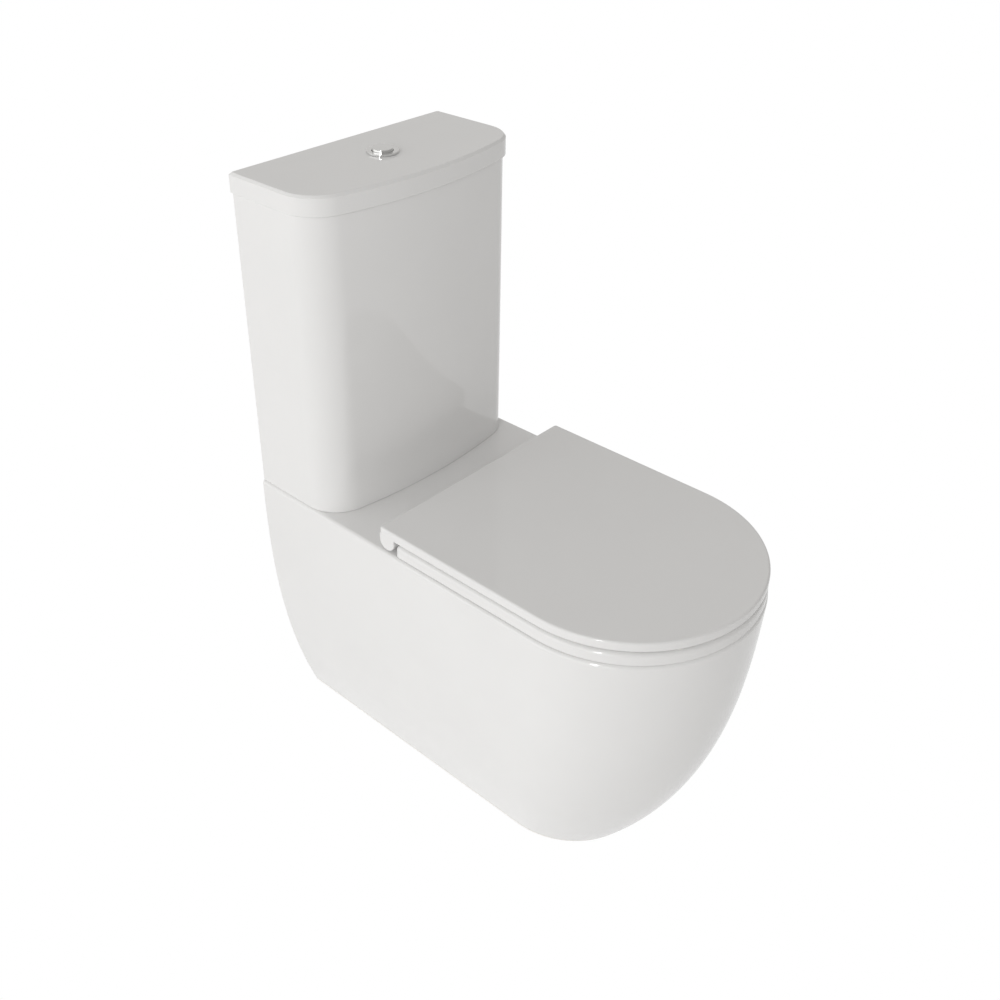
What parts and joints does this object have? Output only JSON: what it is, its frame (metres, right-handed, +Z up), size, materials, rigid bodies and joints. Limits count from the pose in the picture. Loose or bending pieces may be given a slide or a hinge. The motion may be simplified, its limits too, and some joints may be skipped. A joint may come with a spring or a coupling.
{
  "type": "close coupled toilet",
  "caption": "Close coupled toilet: skirted tapering ceramic pan, cistern with chamfered lid and chrome push button, slim D-shaped seat and lid on rear hinges, with its flush and fill valves.",
  "frame": {"origin": "on the floor, under the middle of the footprint: half way across, and half way from the wall plane to the front of the pan", "axes": "+Z up, +Y towards the wall, +X to the right as seen by someone facing the toilet"},
  "size_m": [0.365, 0.68, 0.8708],
  "materials": {
    "glazed_ceramic": "glossy white glaze",
    "seat_plastic": "glossy white moulded plastic",
    "chrome": "polished plating",
    "white_plastic": "moulded",
    "blue_plastic": "moulded",
    "grey_plastic": "moulded",
    "black_rubber": "matt",
    "foam_rubber": "closed-cell foam",
    "steel": "plain stainless",
    "brass": "plain turned",
    "buffer_rubber": "matt translucent"
  },
  "bodies": {
    "bowl_and_tank": {"pan": "glazed_ceramic", "cistern": "glazed_ceramic", "hinge_post_left": "chrome", "hinge_post_right": "chrome", "flush_valve_base": "white_plastic", "flush_valve_backnut": "white_plastic", "fill_valve_stem": "white_plastic", "fill_valve_backnut": "white_plastic", "hinge_nut_left": "white_plastic", "hinge_nut_right": "white_plastic", "flush_valve_tower": "blue_plastic", "fill_valve_cap": "blue_plastic", "floor_bracket_left": "grey_plastic", "floor_bracket_right": "grey_plastic", "fill_valve_washer": "black_rubber", "coupling_rubber_left": "black_rubber", "coupling_rubber_right": "black_rubber", "coupling_seal": "foam_rubber", "coupling_washer_left": "steel", "coupling_washer_right": "steel", "hinge_pin_left": "steel", "hinge_pin_right": "steel", "hinge_bolt_left": "steel", "hinge_bolt_right": "steel", "floor_screw_left": "steel", "floor_screw_right": "steel", "coupling_bolt_left": "brass", "coupling_bolt_right": "brass", "wing_nut_left": "brass", "wing_nut_right": "brass"},
    "cistern_cover": {"cistern_lid": "glazed_ceramic", "button_bezel": "chrome", "button_nut": "white_plastic", "button_spring": "steel"},
    "push_button": {"flush_button": "chrome", "button_rod": "white_plastic"},
    "flush_plunger": {"overflow_tube": "blue_plastic", "flush_seal": "black_rubber"},
    "float": {"float_cup": "grey_plastic"},
    "float_lever": {"float_arm": "white_plastic"},
    "seat": {"seat_ring": "seat_plastic", "ring_buffer_rear_left": "buffer_rubber", "ring_buffer_front_left": "buffer_rubber", "ring_buffer_rear_right": "buffer_rubber", "ring_buffer_front_right": "buffer_rubber"},
    "lid": {"seat_lid": "seat_plastic", "lid_buffer_left": "buffer_rubber", "lid_buffer_right": "buffer_rubber"}
  },
  "joints": [
    {"name": "seat_ring_hinge", "type": "hinge", "parent": "bowl_and_tank", "child": "seat", "pos_m": [0, 0.0873, 0.43], "axis": [-1, 0, 0], "range_deg": [0, 93]},
    {"name": "seat_lid_hinge", "type": "hinge", "parent": "seat", "child": "lid", "pos_m": [0, 0.0873, 0.43], "axis": [1, 0, 0], "range_deg": [-95, 0]},
    {"name": "cistern_lid_lift", "type": "slide", "parent": "bowl_and_tank", "child": "cistern_cover", "axis": [0, 0, 1], "range_m": [0, 0.12]},
    {"name": "button_press", "type": "slide", "parent": "cistern_cover", "child": "push_button", "axis": [0, 0, -1], "range_m": [0, 0.005], "stiffness_N_per_m": 600, "springref_m": -0.005, "deforming": ["button_spring"]},
    {"name": "plunger_lift", "type": "slide", "parent": "bowl_and_tank", "child": "flush_plunger", "axis": [0, 0, 1], "range_m": [0, 0.012]},
    {"name": "float_drop", "type": "slide", "parent": "bowl_and_tank", "child": "float", "axis": [0, 0, -1], "range_m": [0, 0.012]},
    {"name": "float_lever_turn", "type": "hinge", "parent": "bowl_and_tank", "child": "float_lever", "pos_m": [-0.106, 0.258, 0.7855], "axis": [1, 0, 0], "range_deg": [0, 19]}
  ],
  "couplings": [
    {"joint": "plunger_lift", "follows": "button_press", "ratio": 2.4},
    {"joint": "float_lever_turn", "follows": "float_drop", "rad_per_m": 26}
  ]
}
